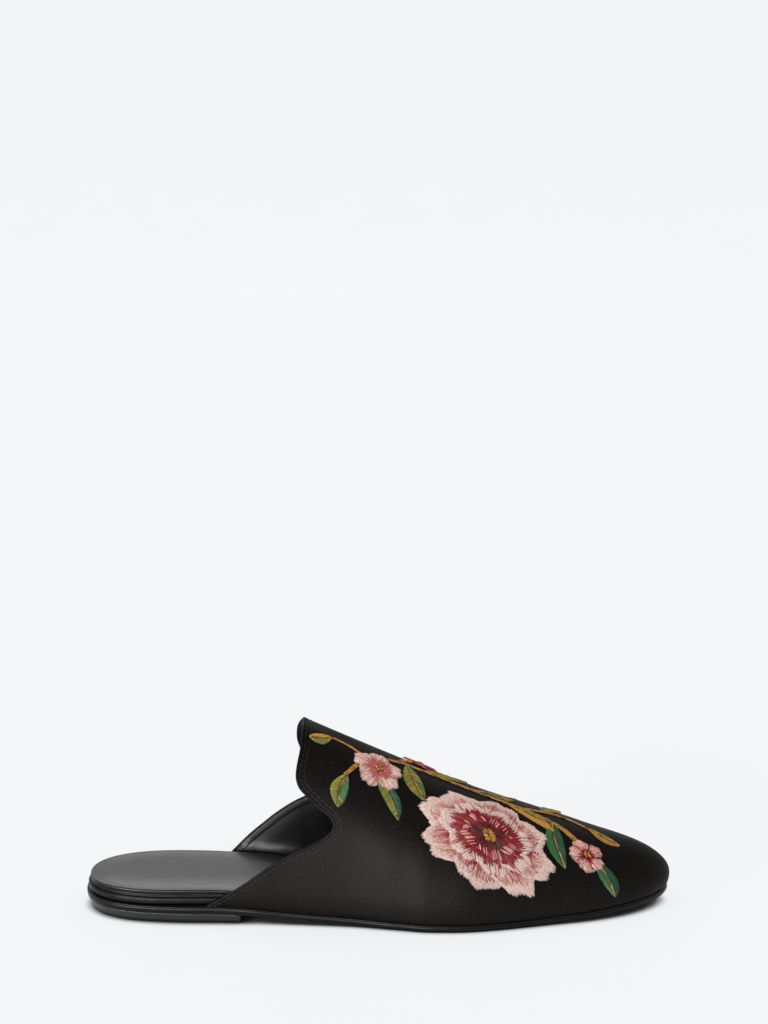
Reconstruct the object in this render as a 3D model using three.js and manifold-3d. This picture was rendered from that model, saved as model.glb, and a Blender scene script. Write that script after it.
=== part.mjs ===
// Right-foot babouche slipper: a backless satin upper on a flat leather sole with a low heel lift.
// Millimetres. +X points to the toe, +Y to the inner side of the foot and +Z up.
// Places along the shoe are shares of the last's length, from the back of the insole board.
import * as THREE from "three";
import { mergeVertices } from "three/addons/utils/BufferGeometryUtils.js";
import Module from "manifold-3d";

// Driving sizes of the last.
const LAST_LENGTH = 264;
const BALL_WIDTH = 82;
const HEEL_WIDTH = 58.4;
const INSTEP_HEIGHT = 80;
const TOE_SWING = 3;
const TOE_SPRING = 4.2;

// Sizes of the upper.
const UPPER_WALL = 1.8;
const SIDE_FULLNESS = 1.6;
const SIDE_FULLNESS_HEIGHT = 11;
const ARCH_FULLNESS = 5;

// Sizes of the bottom pieces.
const OUTSOLE_THICKNESS = 3.3;
const OUTSOLE_MARGIN = 0.2;
const OUTSOLE_HEEL_MARGIN = 0.8;
const OUTSOLE_BEVEL = 1.2;
const BOARD_THICKNESS = 3.2;
const BOARD_ROUND = 0.6;
const SOCK_THICKNESS = 3.4;
const SOCK_ROUND = 2.4;
const SOCK_CROWN = 1.2;
const SOCK_INSET = 0.9;
const HEEL_LIFT = 4.9;
const HEEL_LENGTH = 71;
const HEEL_INSET = 0.6;
const HEEL_TAPER = 2.4;

// Clearance between neighbouring pieces.
const SEAM_GAP = 0.3;

// How finely the curved faces are divided.
const UPPER_STATIONS = 52;
const UPPER_ROWS = 13;
const SOLE_STATIONS = 48;
const HEEL_STATIONS = 14;
const TOPLINE_STEPS = 64;

// Half widths of the board beside its axis, as shares of the local width.
const PLAN = [
  { at: 0.0, outer: 0.5, inner: 0.5 },
  { at: 0.15, outer: 0.5, inner: 0.5 },
  { at: 0.28, outer: 0.487, inner: 0.452 },
  { at: 0.37, outer: 0.452, inner: 0.368 },
  { at: 0.455, outer: 0.432, inner: 0.333 },
  { at: 0.54, outer: 0.463, inner: 0.376 },
  { at: 0.59, outer: 0.492, inner: 0.424 },
  { at: 0.64, outer: 0.498, inner: 0.466 },
  { at: 0.7, outer: 0.472, inner: 0.492 },
  { at: 0.76, outer: 0.43, inner: 0.492 },
  { at: 0.82, outer: 0.403, inner: 0.47 },
  { at: 0.9, outer: 0.4, inner: 0.445 },
  { at: 1.0, outer: 0.412, inner: 0.44 },
];

// The width grows from the heel's to the ball's, and the toe swings to the inner side.
const WIDENING = { from: 0.2, to: 0.6 };
const SWING = { from: 0.45, to: 1 };

// Round ends of the board: where each starts, and the two powers of its curve.
const HEEL_ROUND = { start: 0.15, along: 2.3, across: 2.2 };
const TOE_ROUND = { start: 0.72, along: 2.2, across: 1.7 };

// The seat as shares of the heel lift and of the toe spring, with the ball's flat spot in between.
const SEAT = [
  { at: 0.0, lift: 1, spring: 0 },
  { at: 0.2, lift: 1, spring: 0 },
  { at: 0.28, lift: 0.86, spring: 0 },
  { at: 0.37, lift: 0.45, spring: 0 },
  { at: 0.455, lift: 0.17, spring: 0 },
  { at: 0.53, lift: 0.03, spring: 0 },
  { at: 0.58, lift: 0, spring: 0 },
  { at: 0.68, lift: 0, spring: 0 },
  { at: 0.78, lift: 0, spring: 0.1 },
  { at: 0.86, lift: 0, spring: 0.33 },
  { at: 0.93, lift: 0, spring: 0.66 },
  { at: 1.0, lift: 0, spring: 1 },
];

// Sections of the upper: the ridge's height above the seat as a share of the instep height, the
// power that squares the shoulders, and the share of the arch fullness on the inner side.
const SECTIONS = [
  { at: 0.1, ridge: 1.357, square: 2.6, arch: 0 },
  { at: 0.2, ridge: 1.205, square: 2.6, arch: 0.15 },
  { at: 0.3, ridge: 1.095, square: 2.6, arch: 0.5 },
  { at: 0.38, ridge: 1.0, square: 2.53, arch: 0.86 },
  { at: 0.45, ridge: 0.912, square: 2.45, arch: 1 },
  { at: 0.54, ridge: 0.791, square: 2.33, arch: 0.6 },
  { at: 0.63, ridge: 0.66, square: 2.25, arch: 0.2 },
  { at: 0.72, ridge: 0.547, square: 2.25, arch: 0 },
  { at: 0.81, ridge: 0.444, square: 2.25, arch: 0 },
  { at: 0.9, ridge: 0.328, square: 2.5, arch: 0 },
  { at: 1.0, ridge: 0.226, square: 3.2, arch: 0 },
];

// Ribs of the upper fan out around the toe: past the first share their upper ends lag behind, and
// the last one ends at the second share. The slopes are those of the lag at its two ends.
const FAN = { from: 0.6, to: 0.885, slopeIn: 0.67, slopeOut: 0.05 };

// The shell of the upper starts behind its topline, which cuts it to length.
const SHELL_START = 0.16;

// The outsole's margin grows between these shares, from the bare heel to the upper's foot.
const MARGIN_GROWTH = { from: 0.1, to: 0.2 };

// Topline in the side view, from the seat up the quarter, around the throat and up the tongue.
// Heights above the seat on the outer and inner side are shares of the instep height. Lag is how far
// the inner side's line lies behind the outer side's.
const TOPLINE = [
  { at: 0.18, outer: -0.06, inner: -0.095, lag: 0 },
  { at: 0.215, outer: 0.012, inner: -0.024, lag: 0 },
  { at: 0.241, outer: 0.067, inner: 0.06, lag: 0 },
  { at: 0.274, outer: 0.144, inner: 0.174, lag: 0 },
  { at: 0.299, outer: 0.209, inner: 0.249, lag: 0 },
  { at: 0.323, outer: 0.271, inner: 0.322, lag: 0 },
  { at: 0.355, outer: 0.346, inner: 0.405, lag: 0 },
  { at: 0.388, outer: 0.405, inner: 0.464, lag: 0 },
  { at: 0.414, outer: 0.459, inner: 0.503, lag: 0 },
  { at: 0.427, outer: 0.506, inner: 0.53, lag: 0 },
  { at: 0.428, outer: 0.54, inner: 0.549, lag: 0 },
  { at: 0.42, outer: 0.576, inner: 0.578, lag: 0 },
  { at: 0.403, outer: 0.616, inner: 0.616, lag: 0 },
  { at: 0.385, outer: 0.67, inner: 0.67, lag: 0 },
  { at: 0.371, outer: 0.716, inner: 0.716, lag: 0 },
  { at: 0.3655, outer: 0.768, inner: 0.768, lag: -0.001 },
  { at: 0.367, outer: 0.83, inner: 0.83, lag: 0.005 },
  { at: 0.373, outer: 0.92, inner: 0.92, lag: 0.0085 },
  { at: 0.377, outer: 1.01, inner: 1.01, lag: 0 },
  { at: 0.388, outer: 1.12, inner: 1.12, lag: 0 },
];

// Edge profiles of the bottom pieces, from the underside up. Inset is a share of the piece's own
// bevel or round, and up a share of its thickness.
const OUTSOLE_EDGE = [
  { inset: 1, up: 0 },
  { inset: 0.35, up: 0.3 },
  { inset: 0, up: 0.55 },
  { inset: 0, up: 1 },
];
const BOARD_EDGE = [
  { inset: 1, up: 0 },
  { inset: 0, up: 0.22 },
  { inset: 0, up: 0.78 },
  { inset: 1, up: 1 },
];
const SOCK_EDGE = [
  { inset: 0.3, up: 0 },
  { inset: 0, up: 0.3 },
  { inset: 0.05, up: 0.66 },
  { inset: 0.4, up: 0.93 },
  { inset: 1, up: 1 },
];

// Rings of the sock's crown: how far each lies from the edge to the axis, and its share of the rise.
const SOCK_CROWN_RINGS = [
  { inward: 0.12, rise: 0.3 },
  { inward: 0.26, rise: 0.58 },
  { inward: 0.42, rise: 0.8 },
  { inward: 0.62, rise: 0.95 },
];

// Smooth step from 0 to 1 between two values.
function ease(value, from, to) {
  return THREE.MathUtils.smoothstep(value, from, to);
}

// Cubic over a unit span with the given ends and slopes.
function cubic(t, start, slopeIn, end, slopeOut) {
  const left = 1 - t;
  const bend = t * left * (left * slopeIn - t * slopeOut);
  return (1 + 2 * t) * left * left * start + t * t * (3 - 2 * t) * end + bend;
}

// Slope of a table's column at one row, zero at a peak or hollow so that the curve never overshoots.
function slopeAt(table, column, row) {
  const rise = (k) => (table[k + 1][column] - table[k][column]) / (table[k + 1].at - table[k].at);
  const before = rise(Math.max(0, row - 1));
  const after = rise(Math.min(row, table.length - 2));
  return before * after <= 0 ? 0 : 2 * before * after / (before + after);
}

// Value of a table's column at a share of the length.
function read(table, column, at) {
  const here = THREE.MathUtils.clamp(at, table[0].at, table.at(-1).at);
  const row = Math.max(0, table.findIndex((entry) => entry.at >= here) - 1);
  const span = table[row + 1].at - table[row].at;
  const slopeIn = slopeAt(table, column, row) * span;
  const slopeOut = slopeAt(table, column, row + 1) * span;
  return cubic((here - table[row].at) / span, table[row][column], slopeIn, table[row + 1][column], slopeOut);
}

// The outline is followed by an angle: 0 at the back of the heel, half a turn at the toe tip, with
// the outer side on the way there and the inner side on the way back.
function shareAt(angle) {
  return (1 - Math.cos(angle)) / 2;
}

function angleAt(share) {
  return Math.acos(1 - 2 * share);
}

// Point of the board's outline.
function boardPoint(angle) {
  const share = shareAt(angle);
  const outer = Math.sin(angle) >= 0;
  const width = THREE.MathUtils.lerp(HEEL_WIDTH, BALL_WIDTH, ease(share, WIDENING.from, WIDENING.to));
  const heel = Math.max(0, 1 - share / HEEL_ROUND.start);
  const toe = Math.max(0, (share - TOE_ROUND.start) / (1 - TOE_ROUND.start));
  const heelRound = (1 - heel ** HEEL_ROUND.along) ** (1 / HEEL_ROUND.across);
  const toeRound = (1 - toe ** TOE_ROUND.along) ** (1 / TOE_ROUND.across);
  const half = width * read(PLAN, outer ? "outer" : "inner", share) * heelRound * toeRound;
  return new THREE.Vector2(share * LAST_LENGTH, axisAt(share) + (outer ? -half : half));
}

// Sideways place of the axis.
function axisAt(share) {
  return TOE_SWING * ease(share, SWING.from, SWING.to);
}

// Point of the outline moved outward along its own normal.
function outlinePoint(angle, offset) {
  const step = 0.001;
  const along = boardPoint(angle + step).sub(boardPoint(angle - step)).normalize();
  return boardPoint(angle).add(new THREE.Vector2(along.y, -along.x).multiplyScalar(offset));
}

// Height of the outsole's top.
function seatHeight(x) {
  const share = x / LAST_LENGTH;
  const shape = HEEL_LIFT * read(SEAT, "lift", share) + TOE_SPRING * read(SEAT, "spring", share);
  return OUTSOLE_THICKNESS + shape;
}

// Height of the upper's ridge.
function ridgeHeight(x) {
  return seatHeight(x) + INSTEP_HEIGHT * read(SECTIONS, "ridge", x / LAST_LENGTH);
}

// Where the rib that stands at this share of the outline reaches the ridge.
function ribTop(share) {
  if (share <= FAN.from) {
    return share * LAST_LENGTH;
  }
  const start = angleAt(FAN.from);
  const turned = (angleAt(share) - start) / (Math.PI - start);
  return cubic(turned, FAN.from, FAN.slopeIn, FAN.to, FAN.slopeOut) * LAST_LENGTH;
}

// Point of the upper, a given depth inside its outer face. Lift is 0 at the sole and 1 on the ridge.
function upperPoint(angle, lift, depth) {
  const share = shareAt(angle);
  const power = 2 / read(SECTIONS, "square", share);
  const quarter = lift * Math.PI / 2;
  const reach = lift < 1 ? Math.cos(quarter) ** power : 0;
  const rise = Math.sin(quarter) ** power;
  const top = ribTop(share);
  const wall = SEAM_GAP + UPPER_WALL - depth;
  const foot = seatHeight(outlinePoint(angle, wall).x) + SEAM_GAP;
  const nearness = Math.max(0, 1 - rise * (ridgeHeight(top) - foot) / SIDE_FULLNESS_HEIGHT);
  const arch = Math.sin(angle) < 0 ? ARCH_FULLNESS * read(SECTIONS, "arch", share) : 0;
  const fullness = (SIDE_FULLNESS + arch) * (1 - nearness * nearness);
  const side = outlinePoint(angle, wall + fullness);
  const x = THREE.MathUtils.lerp(top, side.x, reach);
  const y = THREE.MathUtils.lerp(TOE_SWING, side.y, reach);
  const z = THREE.MathUtils.lerp(foot, ridgeHeight(x) - depth, rise);
  return [x, y, z];
}

// Two triangles between four points.
function quad(a, b, c, d) {
  return [[a, b, c], [a, c, d]];
}

// Closed geometry from points and faces. Faces that shrink to a line are left out.
function closedGeometry(points, faces) {
  const geometry = new THREE.BufferGeometry();
  const real = faces.filter(([a, b, c]) => a !== b && b !== c && c !== a);
  geometry.setAttribute("position", new THREE.Float32BufferAttribute(points.flat(), 3));
  geometry.setIndex(real.flat());
  return geometry;
}

// Closed stack of rings, lowest first. Each ring runs from the heel along the outer side to the
// front and back along the inner side, and the ends are closed by rungs from side to side.
function stackRings(rings) {
  const around = rings[0].length;
  const faces = [];
  const index = (level, step) => level * around + (step % around);
  for (let level = 0; level < rings.length - 1; level += 1) {
    const up = level + 1;
    for (let step = 0; step < around; step += 1) {
      const next = step + 1;
      faces.push(...quad(index(level, step), index(level, next), index(up, next), index(up, step)));
    }
  }
  const top = rings.length - 1;
  for (let step = 0; step < Math.floor(around / 2); step += 1) {
    const next = step + 1;
    const back = around - step;
    const ahead = around - next;
    faces.push(...quad(index(top, step), index(top, next), index(top, ahead), index(top, back)));
    faces.push(...quad(index(0, back), index(0, ahead), index(0, next), index(0, step)));
  }
  return closedGeometry(rings.flat(), faces);
}

// Angles around the whole outline.
function soleAngles() {
  return Array.from({ length: 2 * SOLE_STATIONS }, (_, step) => step * Math.PI / SOLE_STATIONS);
}

// One level of a bottom piece: the outline at an offset, at a height above the seat.
function soleRing(offsetAt, above) {
  return soleAngles().map((angle) => {
    const point = outlinePoint(angle, offsetAt(angle));
    return [point.x, point.y, seatHeight(point.x) + above];
  });
}

// How far the outsole stands out from the board.
function outsoleMargin(angle) {
  const full = SEAM_GAP + UPPER_WALL + OUTSOLE_MARGIN;
  const grown = ease(shareAt(angle), MARGIN_GROWTH.from, MARGIN_GROWTH.to);
  return THREE.MathUtils.lerp(OUTSOLE_HEEL_MARGIN, full, grown);
}

// Outsole: flat leather with a bevelled edge, following the seat from heel to toe spring.
function outsoleGeometry() {
  return stackRings(OUTSOLE_EDGE.map(({ inset, up }) => soleRing(
    (angle) => outsoleMargin(angle) - inset * OUTSOLE_BEVEL,
    (up - 1) * OUTSOLE_THICKNESS,
  )));
}

// Covered insole board on the outsole, inside the upper's foot.
function boardGeometry() {
  return stackRings(BOARD_EDGE.map(({ inset, up }) => soleRing(
    () => -inset * BOARD_ROUND,
    SEAM_GAP + up * BOARD_THICKNESS,
  )));
}

// Padded sock on the board: a rounded edge and a low crown.
function sockGeometry() {
  const base = SEAM_GAP + BOARD_THICKNESS + SEAM_GAP;
  const edge = SOCK_EDGE.map(({ inset, up }) => soleRing(
    () => -SOCK_INSET - inset * SOCK_ROUND,
    base + up * SOCK_THICKNESS,
  ));
  const crown = SOCK_CROWN_RINGS.map(({ inward, rise }) => edge.at(-1).map(([x, y]) => {
    const middle = THREE.MathUtils.clamp(x, HEEL_WIDTH / 2, LAST_LENGTH - BALL_WIDTH / 2);
    const inX = THREE.MathUtils.lerp(x, middle, inward);
    const inY = THREE.MathUtils.lerp(y, axisAt(x / LAST_LENGTH), inward);
    return [inX, inY, seatHeight(inX) + base + SOCK_THICKNESS + rise * SOCK_CROWN];
  }));
  return stackRings([...edge, ...crown]);
}

// Heel lift: a low block under the outsole, tapering to its flat tread, with a straight front.
function heelGeometry() {
  const front = angleAt(HEEL_LENGTH / LAST_LENGTH);
  const angles = Array.from({ length: 2 * HEEL_STATIONS + 1 }, (_, step) => {
    const turn = step <= HEEL_STATIONS ? step : step - 2 * HEEL_STATIONS - 1;
    return turn * front / HEEL_STATIONS;
  });
  const ring = (inset, heightAt) => angles.map((angle) => {
    const point = outlinePoint(angle, outsoleMargin(angle) - inset);
    const x = Math.abs(angle) === front ? HEEL_LENGTH : point.x;
    return [x, point.y, heightAt(x)];
  });
  return stackRings([
    ring(HEEL_INSET + HEEL_TAPER, () => 0),
    ring(HEEL_INSET, (x) => seatHeight(x) - OUTSOLE_THICKNESS - SEAM_GAP),
  ]);
}

// Closed shell of the upper before its topline is cut: an outer and an inner face, joined by rims
// along the sole and at the rear. Both sides share the points of the ridge.
function upperShell() {
  const start = angleAt(SHELL_START);
  const last = 2 * UPPER_STATIONS;
  const points = [];
  const layers = [0, UPPER_WALL].map((depth) => {
    const rows = Array.from({ length: last + 1 }, () => []);
    for (let station = 0; station <= last; station += 1) {
      const angle = THREE.MathUtils.lerp(start, 2 * Math.PI - start, station / last);
      for (let row = 0; row < UPPER_ROWS; row += 1) {
        rows[station].push(points.push(upperPoint(angle, row / UPPER_ROWS, depth)) - 1);
      }
      const twin = last - station;
      const shared = station > UPPER_STATIONS;
      rows[station].push(shared ? rows[twin].at(-1) : points.push(upperPoint(angle, 1, depth)) - 1);
    }
    return rows;
  });
  const [outer, inner] = layers;
  const faces = [];
  for (let station = 0; station < last; station += 1) {
    const next = station + 1;
    for (let row = 0; row < UPPER_ROWS; row += 1) {
      const up = row + 1;
      faces.push(...quad(outer[station][row], outer[next][row], outer[next][up], outer[station][up]));
      faces.push(...quad(inner[next][row], inner[station][row], inner[station][up], inner[next][up]));
    }
    faces.push(...quad(inner[station][0], inner[next][0], outer[next][0], outer[station][0]));
  }
  for (let row = 0; row < UPPER_ROWS; row += 1) {
    const up = row + 1;
    faces.push(...quad(inner[0][row], outer[0][row], outer[0][up], inner[0][up]));
    faces.push(...quad(outer[last][row], inner[last][row], inner[last][up], outer[last][up]));
  }
  return closedGeometry(points, faces);
}

// Everything behind and above one side's topline, as a prism from the middle plane out to that side.
// The two prisms overlap by one wall at the middle plane, where both toplines are the same.
function toplineCutter(side) {
  const places = TOPLINE.map((row) => {
    const x = (side === "inner" ? row.at - row.lag : row.at) * LAST_LENGTH;
    return new THREE.Vector2(x, seatHeight(x) + row[side] * INSTEP_HEIGHT);
  });
  const line = new THREE.SplineCurve(places).getPoints(TOPLINE_STEPS);
  const behind = -LAST_LENGTH / 4;
  const above = 2 * ridgeHeight(0);
  const profile = new THREE.Shape([
    ...line,
    new THREE.Vector2(line.at(-1).x, above),
    new THREE.Vector2(behind, above),
    new THREE.Vector2(behind, line[0].y),
  ]);
  const depth = BALL_WIDTH + UPPER_WALL;
  const prism = new THREE.ExtrudeGeometry(profile, { depth, bevelEnabled: false });
  return prism.rotateX(Math.PI / 2).translate(0, side === "inner" ? BALL_WIDTH : UPPER_WALL, 0);
}

// Solid of a closed geometry, and the way back.
const wasm = await Module();
wasm.setup();

function solidOf(geometry) {
  const bare = geometry.clone().deleteAttribute("normal").deleteAttribute("uv");
  const merged = mergeVertices(bare);
  return new wasm.Manifold(new wasm.Mesh({
    numProp: 3,
    vertProperties: merged.getAttribute("position").array,
    triVerts: new Uint32Array(merged.index.array),
  }));
}

function geometryOf(solid) {
  const mesh = solid.getMesh();
  const geometry = new THREE.BufferGeometry();
  geometry.setAttribute("position", new THREE.BufferAttribute(mesh.vertProperties, mesh.numProp));
  geometry.setIndex(new THREE.BufferAttribute(mesh.triVerts, 1));
  return geometry;
}

// Upper: one hollow vamp with its quarters and tongue, open at the rear and underneath.
function upperGeometry() {
  const waste = solidOf(toplineCutter("outer")).add(solidOf(toplineCutter("inner")));
  return geometryOf(solidOf(upperShell()).subtract(waste));
}

// Named mesh with its own material.
function piece(name, geometry, look) {
  geometry.computeVertexNormals();
  const mesh = new THREE.Mesh(geometry, new THREE.MeshStandardMaterial(look));
  mesh.name = name;
  return mesh;
}

const slipper = new THREE.Group();
slipper.add(
  piece("upper", upperGeometry(), { color: 0x191614, roughness: 0.55, metalness: 0 }),
  piece("sock_lining", sockGeometry(), { color: 0x3b3b3d, roughness: 0.45, metalness: 0 }),
  piece("insole_board", boardGeometry(), { color: 0x202022, roughness: 0.5, metalness: 0 }),
  piece("outsole", outsoleGeometry(), { color: 0x141416, roughness: 0.4, metalness: 0 }),
  piece("heel", heelGeometry(), { color: 0x121214, roughness: 0.45, metalness: 0 }),
);

// The origin is under the middle of the whole shoe.
const middle = new THREE.Box3().setFromObject(slipper).getCenter(new THREE.Vector3());
slipper.position.set(-middle.x, -middle.y, 0);

export default slipper;
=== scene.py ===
"""Looks of a right-foot babouche slipper: black satin, black leather and a spray of satin stitch.

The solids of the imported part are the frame. Each one is replaced by a finer mesh of the same form,
made from the same sizes. Shapes are worked out in millimetres in the last's own frame, which starts
at the back of the insole board on the heel's axis, and are moved into the part's frame in metres.
"""
import math

import bpy
import numpy as np
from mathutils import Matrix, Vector
from mathutils.bvhtree import BVHTree


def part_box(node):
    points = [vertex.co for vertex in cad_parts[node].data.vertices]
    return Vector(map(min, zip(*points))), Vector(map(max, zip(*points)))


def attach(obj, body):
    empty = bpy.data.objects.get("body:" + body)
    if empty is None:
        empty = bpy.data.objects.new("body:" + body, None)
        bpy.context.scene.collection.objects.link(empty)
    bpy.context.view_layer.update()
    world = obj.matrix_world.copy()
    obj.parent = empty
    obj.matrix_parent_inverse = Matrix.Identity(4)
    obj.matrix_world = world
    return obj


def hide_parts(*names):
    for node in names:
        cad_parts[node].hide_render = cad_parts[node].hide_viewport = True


# A millimetre in metres, and a length that counts as none.
MM = 0.001
TINY = 1e-9


def rows_of(columns, rows):
    """Rows of a table as dictionaries with named columns."""
    return [dict(zip(columns, row)) for row in rows]


# Sizes of the last, in millimetres, as in the solids.
LAST_LENGTH = 264.0
BALL_WIDTH = 82.0
HEEL_WIDTH = 58.4
INSTEP_HEIGHT = 80.0
TOE_SWING = 3.0
TOE_SPRING = 4.2
UPPER_WALL = 1.8
SIDE_FULLNESS = 1.6
SIDE_FULLNESS_HEIGHT = 11.0
ARCH_FULLNESS = 5.0
OUTSOLE_THICKNESS = 3.3
OUTSOLE_MARGIN = 0.2
OUTSOLE_HEEL_MARGIN = 0.8
BOARD_THICKNESS = 3.2
SOCK_THICKNESS = 3.4
SOCK_CROWN = 1.2
SOCK_INSET = 0.9
HEEL_LIFT = 4.9
HEEL_LENGTH = 71.0
HEEL_INSET = 0.6
HEEL_TAPER = 2.4
SEAM_GAP = 0.3

# How finely the surfaces are divided, in steps, millimetres or, for the outline's normal, radians.
UPPER_STATIONS = 170
UPPER_ROWS = 66
SOLE_STATIONS = 180
HEEL_STATIONS = 60
OUTLINE_STEP = 0.001
OUTLINE_POINTS = 8 * SOLE_STATIONS
TOPLINE_POINTS = 260
TOPLINE_STEP = 0.5
SOLE_ANGLES = np.arange(2 * SOLE_STATIONS) * math.pi / SOLE_STATIONS

# Square millimetres added to a squared gap, so that the nearest corner's weight stays finite.
NEAR = 1e-3

# Half widths of the board beside its axis, as shares of the local width.
PLAN = {
    "at": (0.0, 0.15, 0.28, 0.37, 0.455, 0.54, 0.59, 0.64, 0.7, 0.76, 0.82, 0.9, 1.0),
    "outer": (0.5, 0.5, 0.487, 0.452, 0.432, 0.463, 0.492, 0.498, 0.472, 0.43, 0.403, 0.4, 0.412),
    "inner": (0.5, 0.5, 0.452, 0.368, 0.333, 0.376, 0.424, 0.466, 0.492, 0.492, 0.47, 0.445, 0.44),
}
WIDENING = (0.2, 0.6)
SWING = (0.45, 1.0)
HEEL_ROUND = {"start": 0.15, "along": 2.3, "across": 2.2}
TOE_ROUND = {"start": 0.72, "along": 2.2, "across": 1.7}

# Seat of the sole, as shares of the heel lift and of the toe spring.
SEAT = {
    "at": (0.0, 0.2, 0.28, 0.37, 0.455, 0.53, 0.58, 0.68, 0.78, 0.86, 0.93, 1.0),
    "lift": (1.0, 1.0, 0.86, 0.45, 0.17, 0.03, 0.0, 0.0, 0.0, 0.0, 0.0, 0.0),
    "spring": (0.0, 0.0, 0.0, 0.0, 0.0, 0.0, 0.0, 0.0, 0.1, 0.33, 0.66, 1.0),
}

# Sections of the upper: ridge height, shoulder power and share of the arch fullness.
SECTIONS = {
    "at": (0.1, 0.2, 0.3, 0.38, 0.45, 0.54, 0.63, 0.72, 0.81, 0.9, 1.0),
    "ridge": (1.357, 1.205, 1.095, 1.0, 0.912, 0.791, 0.66, 0.547, 0.444, 0.328, 0.226),
    "square": (2.6, 2.6, 2.6, 2.53, 2.45, 2.33, 2.25, 2.25, 2.25, 2.5, 3.2),
    "arch": (0.0, 0.15, 0.5, 0.86, 1.0, 0.6, 0.2, 0.0, 0.0, 0.0, 0.0),
}
FAN = {"from": 0.6, "to": 0.885, "slope_in": 0.67, "slope_out": 0.05}
SHELL_START = 0.16
MARGIN_GROWTH = (0.1, 0.2)

# Topline in the side view: share of the length, height above the seat on each side as a share of the
# instep height, and how far the inner side's line lies behind the outer side's.
TOPLINE = {
    "at": (0.18, 0.215, 0.241, 0.274, 0.299, 0.323, 0.355, 0.388, 0.414, 0.427, 0.428,
           0.42, 0.403, 0.385, 0.371, 0.3655, 0.367, 0.373, 0.377, 0.388),
    "outer": (-0.06, 0.012, 0.067, 0.144, 0.209, 0.271, 0.346, 0.405, 0.459, 0.506, 0.54,
              0.576, 0.616, 0.67, 0.716, 0.768, 0.83, 0.92, 1.01, 1.12),
    "inner": (-0.095, -0.024, 0.06, 0.174, 0.249, 0.322, 0.405, 0.464, 0.503, 0.53, 0.549,
              0.578, 0.616, 0.67, 0.716, 0.768, 0.83, 0.92, 1.01, 1.12),
    "lag": (0, 0, 0, 0, 0, 0, 0, 0, 0, 0, 0,
            0, 0, 0, 0, -0.001, 0.005, 0.0085, 0, 0),
}

# Edge profiles of the bottom pieces in millimetres, from the underside up: how far each line lies
# inside the piece's outline, and its height above the piece's underside.
OUTSOLE_EDGE = ((1.2, 0.0), (1.0, 0.12), (0.42, 0.98), (0.14, 1.5), (0.02, 1.85), (0.0, 2.3), (0.12, 2.42),
                (0.12, 2.52), (0.0, 2.64), (0.0, 3.05), (0.06, 3.22), (0.22, 3.3))
BOARD_EDGE = ((1.5, 0.0), (0.9, 0.22), (0.4, 0.5), (0.12, 0.85), (0.0, 1.2), (0.0, 2.5), (0.05, 2.8),
              (0.26, 2.92), (0.1, 3.0), (0.0, 3.14), (0.06, 3.28), (0.3, 3.36))
SOCK_EDGE = ((0.8, -0.1), (0.6, 0.0), (0.52, 0.14), (0.6, 0.3), (0.85, 0.4), (1.25, 0.5), (1.1, 0.85),
             (0.72, 1.35), (0.36, 1.82), (0.12, 2.2), (0.0, 2.5), (0.04, 2.8), (0.2, 3.06), (0.5, 3.23),
             (0.95, 3.33), (1.6, 3.385), (2.6, 3.4))

# Profile of the heel lift, from the ground up: shares of its taper and of its height.
HEEL_EDGE = ((1.0, 0.0), (0.92, 0.05), (0.52, 0.45), (0.5, 0.5), (0.51, 0.53), (0.48, 0.56), (0.03, 1.02),
             (0.04, 1.055))

# Rows of the outsole's profile that make its bevel. Ahead of the heel lift these rows are darkened with
# painted shade.
BEVEL_ROWS = 3

# Share of the outsole's bevel that is left at the heel lift, and where it grows to the whole.
HEEL_BEVEL = 0.42
BEVEL_GROWTH = (0.262, 0.3)

# Crown of the sock: share of the rise, by how far inward a point lies.
SOCK_CROWN_RISE = {"at": (0.0, 0.12, 0.26, 0.42, 0.62, 1.0), "rise": (0.0, 0.3, 0.58, 0.8, 0.95, 1.0)}
SOCK_CROWN_RINGS = (0.03, 0.07, 0.12, 0.18, 0.26, 0.34, 0.42, 0.56, 0.72, 0.88)

# Soft folds of the satin, placed one by one. Each runs between two places on the upper, given by the
# share of the length and the lift from the sole to the ridge, and is a ridge or a trough.
FOLDS = rows_of(("inner", "at", "lift", "width", "depth"), (
    (False, (0.42, 0.62), (0.62, 0.5), 9.0, -0.55),
    (False, (0.4, 0.52), (0.44, 0.3), 10.0, 0.4),
    (False, (0.3, 0.4), (0.22, 0.42), 7.0, -0.35),
    (False, (0.45, 0.5), (0.95, 0.75), 8.0, -0.4),
    (False, (0.7, 0.86), (0.3, 0.34), 8.0, -0.25),
    (True, (0.4, 0.56), (0.6, 0.5), 10.0, -0.6),
    (True, (0.36, 0.5), (0.3, 0.24), 8.0, 0.4),
    (True, (0.62, 0.78), (0.4, 0.46), 9.0, -0.35),
))

# Fine puckers beside the sole. They swell and fade along it, over some times their own pitch.
PUCKER = {"pitch": 7.5, "depth": 0.12, "reach": 7.0, "slow": 4.3, "phase": 1.0}

# The satin's foot is turned in under it, and down a little.
TURNED_FOOT = {"inward": 1.1, "down": 0.12}

# Rolled binding of the topline, in millimetres: how far each line lies inside the cut edge along the
# surface, and its height outside the outer face.
BINDING = ((1.15, 0.02), (1.08, 0.12), (0.9, 0.17), (0.6, 0.18), (0.3, 0.16), (0.04, 0.08), (-0.16, -0.1),
           (-0.26, -0.4), (-0.26, -0.8), (-0.16, -1.12), (0.04, -1.32), (0.3, -1.42), (0.7, -1.46))
TURNED_STRIP = ((0.5, -1.4), (0.9, -1.5), (1.6, -1.58), (2.4, -1.66), (3.3, -1.72), (3.45, -1.68),
                (3.5, -1.5))

# The lining lies this far inside the outer face, less beside the cut edge, and ends behind that edge.
LINING_WALL = {"edge": 1.2, "full": 1.7, "reach": 8.0, "back": 0.3}

# How the cut edge is traced on the outer face: rays from the middle plane, crowded toward the ridge.
CHAIN = {"halvings": 30, "rays": 900, "crowding": 2.6, "smoothing": 3}

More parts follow.
